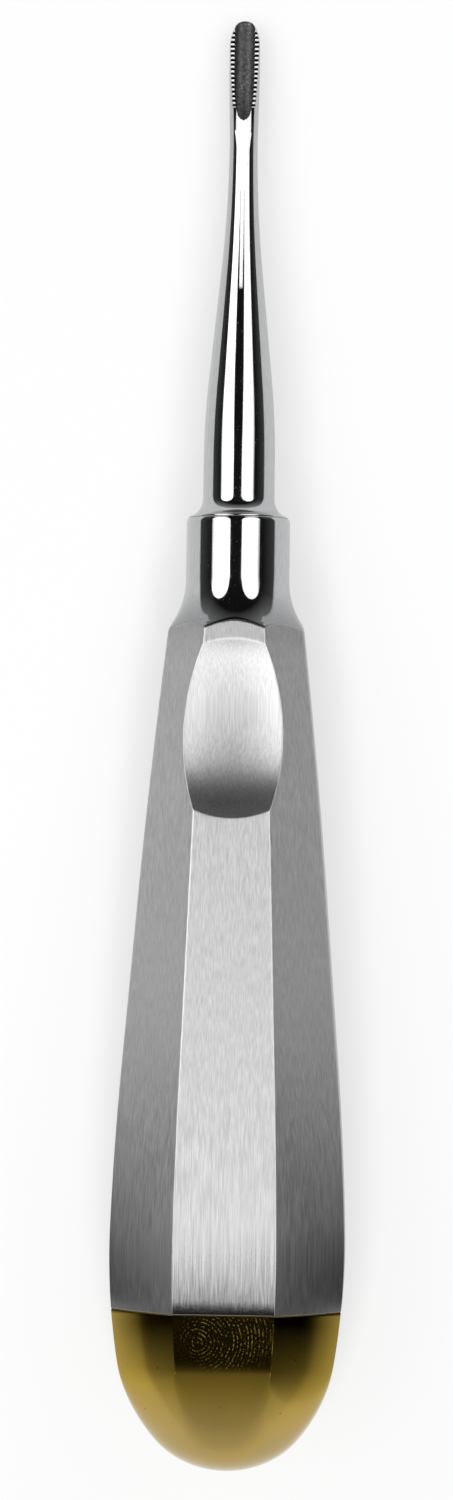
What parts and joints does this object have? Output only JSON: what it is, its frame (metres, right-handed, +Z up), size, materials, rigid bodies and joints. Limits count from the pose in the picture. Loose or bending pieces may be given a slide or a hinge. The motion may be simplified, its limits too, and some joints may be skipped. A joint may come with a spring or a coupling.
{
  "type": "dental elevator",
  "caption": "Straight dental elevator with a serrated gouge blade, polished shank and collar, hollow brushed octagonal handle with a thumb dish, and a gold domed end cap",
  "frame": {"origin": "middle of the flat stretch of the underside facet, on which the tool rests", "axes": "+Y towards the tip, +Z up out of the facet with the thumb dish, +X to the right with the tip away from the viewer"},
  "size_m": [0.024, 0.1496, 0.0243],
  "materials": {
    "polished_steel": "mirror polished stainless steel, blasted trough",
    "brushed_steel": "brushed lengthwise, satin",
    "gold_plating": "gold coloured plating, polished",
    "pin_steel": "drawn steel pin"
  },
  "bodies": {
    "root": {"working_end": "polished_steel", "neck_collar": "polished_steel", "tang_pin": "pin_steel", "handle_shell": "brushed_steel", "end_cap": "gold_plating"}
  },
  "joints": []
}
